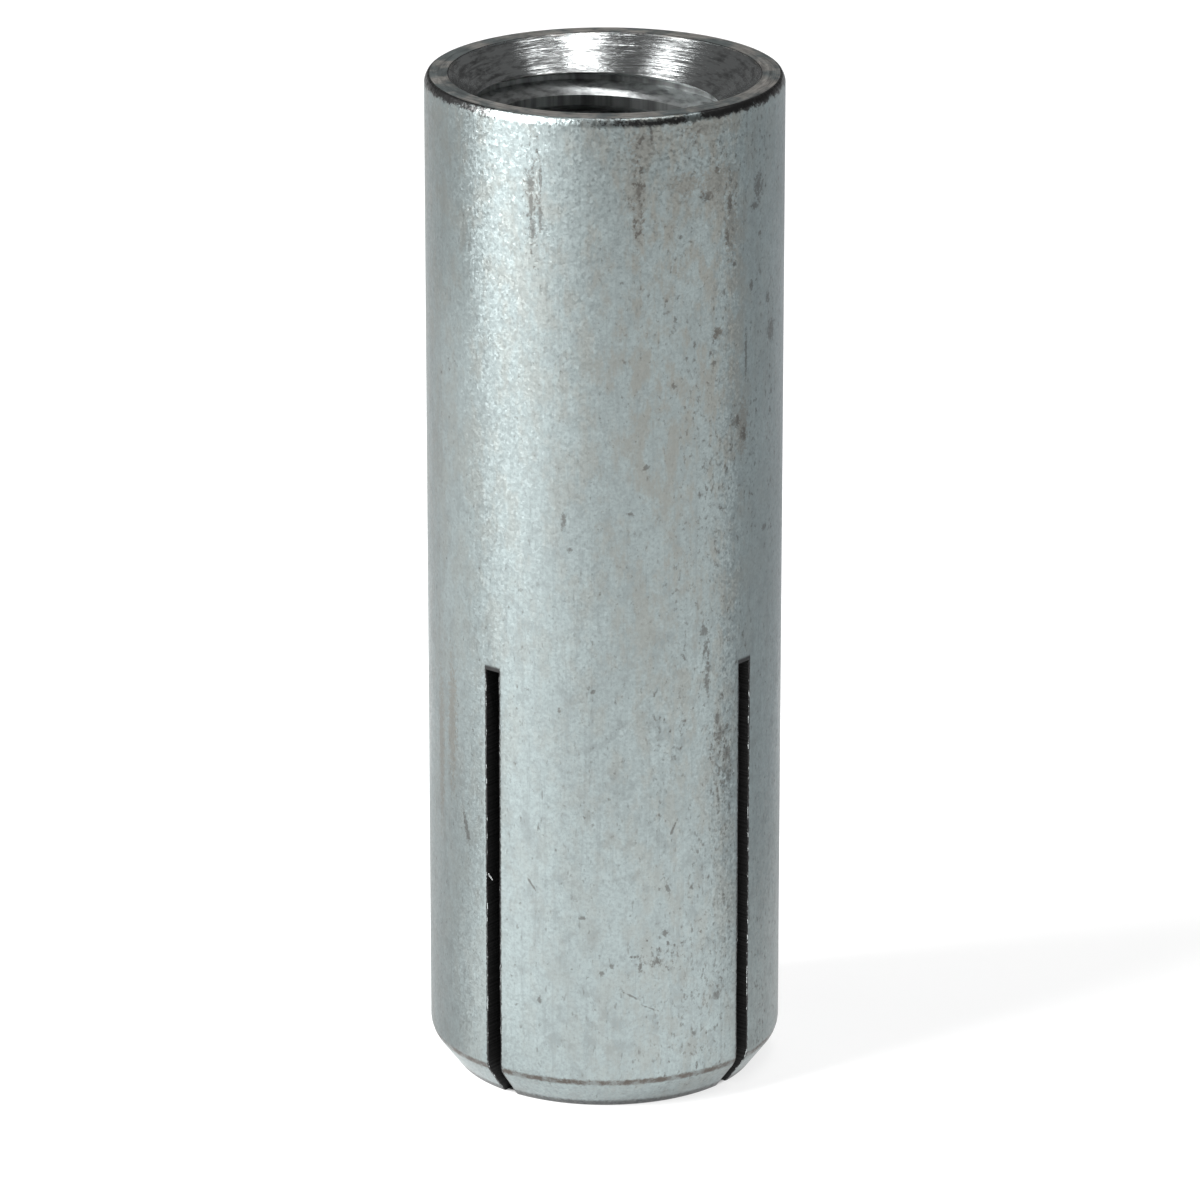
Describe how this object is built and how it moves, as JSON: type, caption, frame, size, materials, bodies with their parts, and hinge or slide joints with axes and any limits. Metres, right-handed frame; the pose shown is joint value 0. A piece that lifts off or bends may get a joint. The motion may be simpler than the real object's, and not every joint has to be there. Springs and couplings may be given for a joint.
{
  "type": "drop in anchor",
  "caption": "Slotted cylindrical steel sleeve with an internal thread and a tapered bore, spread by a loose expander plug to hold a bolt in a drilled hole.",
  "frame": {"origin": "centre of the base, where the sleeve stands on its slotted end", "axes": "+Z along the sleeve towards its threaded mouth, X and Y along the saw cuts"},
  "size_m": [0.0218, 0.0218, 0.0635],
  "materials": {
    "zinc_plate": "dull zinc plate with faint drawing streaks",
    "plug_steel": "plain turned steel"
  },
  "bodies": {
    "sleeve": {"sleeve": "zinc_plate"},
    "plug": {"expander_plug": "plug_steel"}
  },
  "joints": [
    {"name": "plug_drive", "type": "slide", "parent": "sleeve", "child": "plug", "axis": [0, 0, -1], "range_m": [0, 0.0033]}
  ]
}
